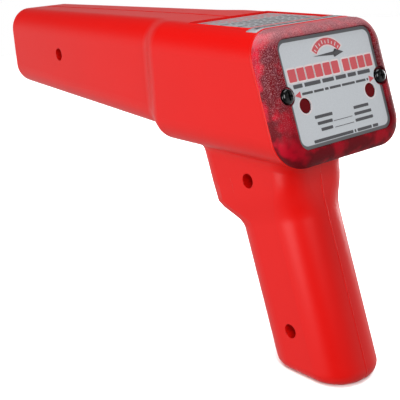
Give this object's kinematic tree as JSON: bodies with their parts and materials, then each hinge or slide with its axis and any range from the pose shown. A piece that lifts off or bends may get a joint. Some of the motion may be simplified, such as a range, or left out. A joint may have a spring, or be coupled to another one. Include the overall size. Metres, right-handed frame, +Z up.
{
  "type": "timing light",
  "caption": "Self-powered automotive timing light: pistol-shaped red housing with a flash lamp in its barrel, batteries behind a rear cover, and sprung triggers.",
  "frame": {"origin": "mouth of the pickup socket, in the middle of the grip's flat base", "axes": "+X along the barrel towards the muzzle, +Y to the left of the person holding it, +Z up"},
  "size_m": [0.2582, 0.0738, 0.1675],
  "materials": {
    "red_shell": "moulded plastic, satin with a fine texture",
    "smoked_red_cover": "translucent dark red plastic, frosted on its outside",
    "black_rubber": "plain",
    "grey_label": "printed polyester film with a dark border and plain graphics",
    "black_screw": "black oxide, oiled",
    "brass": "knurled",
    "red_lamp": "dark red diffused lamp body",
    "green_board": "solder mask",
    "battery_jacket": "printed film sleeve",
    "black_plastic": "moulded",
    "nickel": "nickel plated",
    "spring_steel": "drawn wire",
    "black_trigger": "moulded, satin",
    "white_plastic": "moulded",
    "ferrite": "sintered",
    "winding_tape": "amber tape over enamelled wire",
    "capacitor_sleeve": "shrunk film sleeve",
    "aluminium": "extruded",
    "black_bezel": "moulded",
    "clear_lens": "polished clear acrylic",
    "mirror_bowl": "vacuum metallised",
    "tube_glass": "clear",
    "wire_sleeve": "PVC insulated"
  },
  "bodies": {
    "housing": {"battery_contacts": "nickel", "battery_lead": "wire_sleeve", "battery_springs": "spring_steel", "battery_tray": "black_plastic", "circuit_board": "green_board", "cover_inserts": "brass", "flash_lead": "wire_sleeve", "flash_tube": "tube_glass", "flash_tube_holder": "white_plastic", "heat_sink": "aluminium", "housing_screws": "black_screw", "indicator_board": "green_board", "left_housing": "red_shell", "left_indicator": "red_lamp", "lens": "clear_lens", "lens_bezel": "black_bezel", "lens_seal": "black_rubber", "lower_switch": "black_plastic", "lower_trigger_spring": "spring_steel", "normal_batteries": "battery_jacket", "pickup_socket": "black_plastic", "power_transistor": "black_plastic", "rear_cover": "smoked_red_cover", "rear_cover_gasket": "black_rubber", "rear_cover_screws": "black_screw", "rear_label": "grey_label", "reflector": "mirror_bowl", "reserve_batteries": "battery_jacket", "right_housing": "red_shell", "right_indicator": "red_lamp", "socket_contacts": "nickel", "socket_lead": "wire_sleeve", "socket_nut": "nickel", "storage_capacitor": "capacitor_sleeve", "strip_label": "grey_label", "switch_bracket": "white_plastic", "switch_lead": "wire_sleeve", "switch_terminals": "nickel", "top_label": "grey_label", "transformer_core": "ferrite", "transformer_winding": "winding_tape", "trigger_coil": "winding_tape", "tube_electrodes": "nickel", "upper_switch": "black_plastic", "upper_trigger_spring": "spring_steel"},
    "upper_trigger_group": {"upper_trigger": "black_trigger", "upper_push_rod": "white_plastic"},
    "lower_trigger_group": {"lower_trigger": "black_trigger", "lower_push_rod": "white_plastic"}
  },
  "joints": [
    {"name": "upper_trigger_slide", "type": "slide", "parent": "housing", "child": "upper_trigger_group", "axis": [-0.9563, 0, 0.2924], "range_m": [0, 0.0038], "stiffness_N_per_m": 400, "springref_m": -0.004, "deforming": ["upper_trigger_spring"]},
    {"name": "lower_trigger_slide", "type": "slide", "parent": "housing", "child": "lower_trigger_group", "axis": [-0.9563, 0, 0.2924], "range_m": [0, 0.0038], "stiffness_N_per_m": 400, "springref_m": -0.004, "deforming": ["lower_trigger_spring"]}
  ]
}
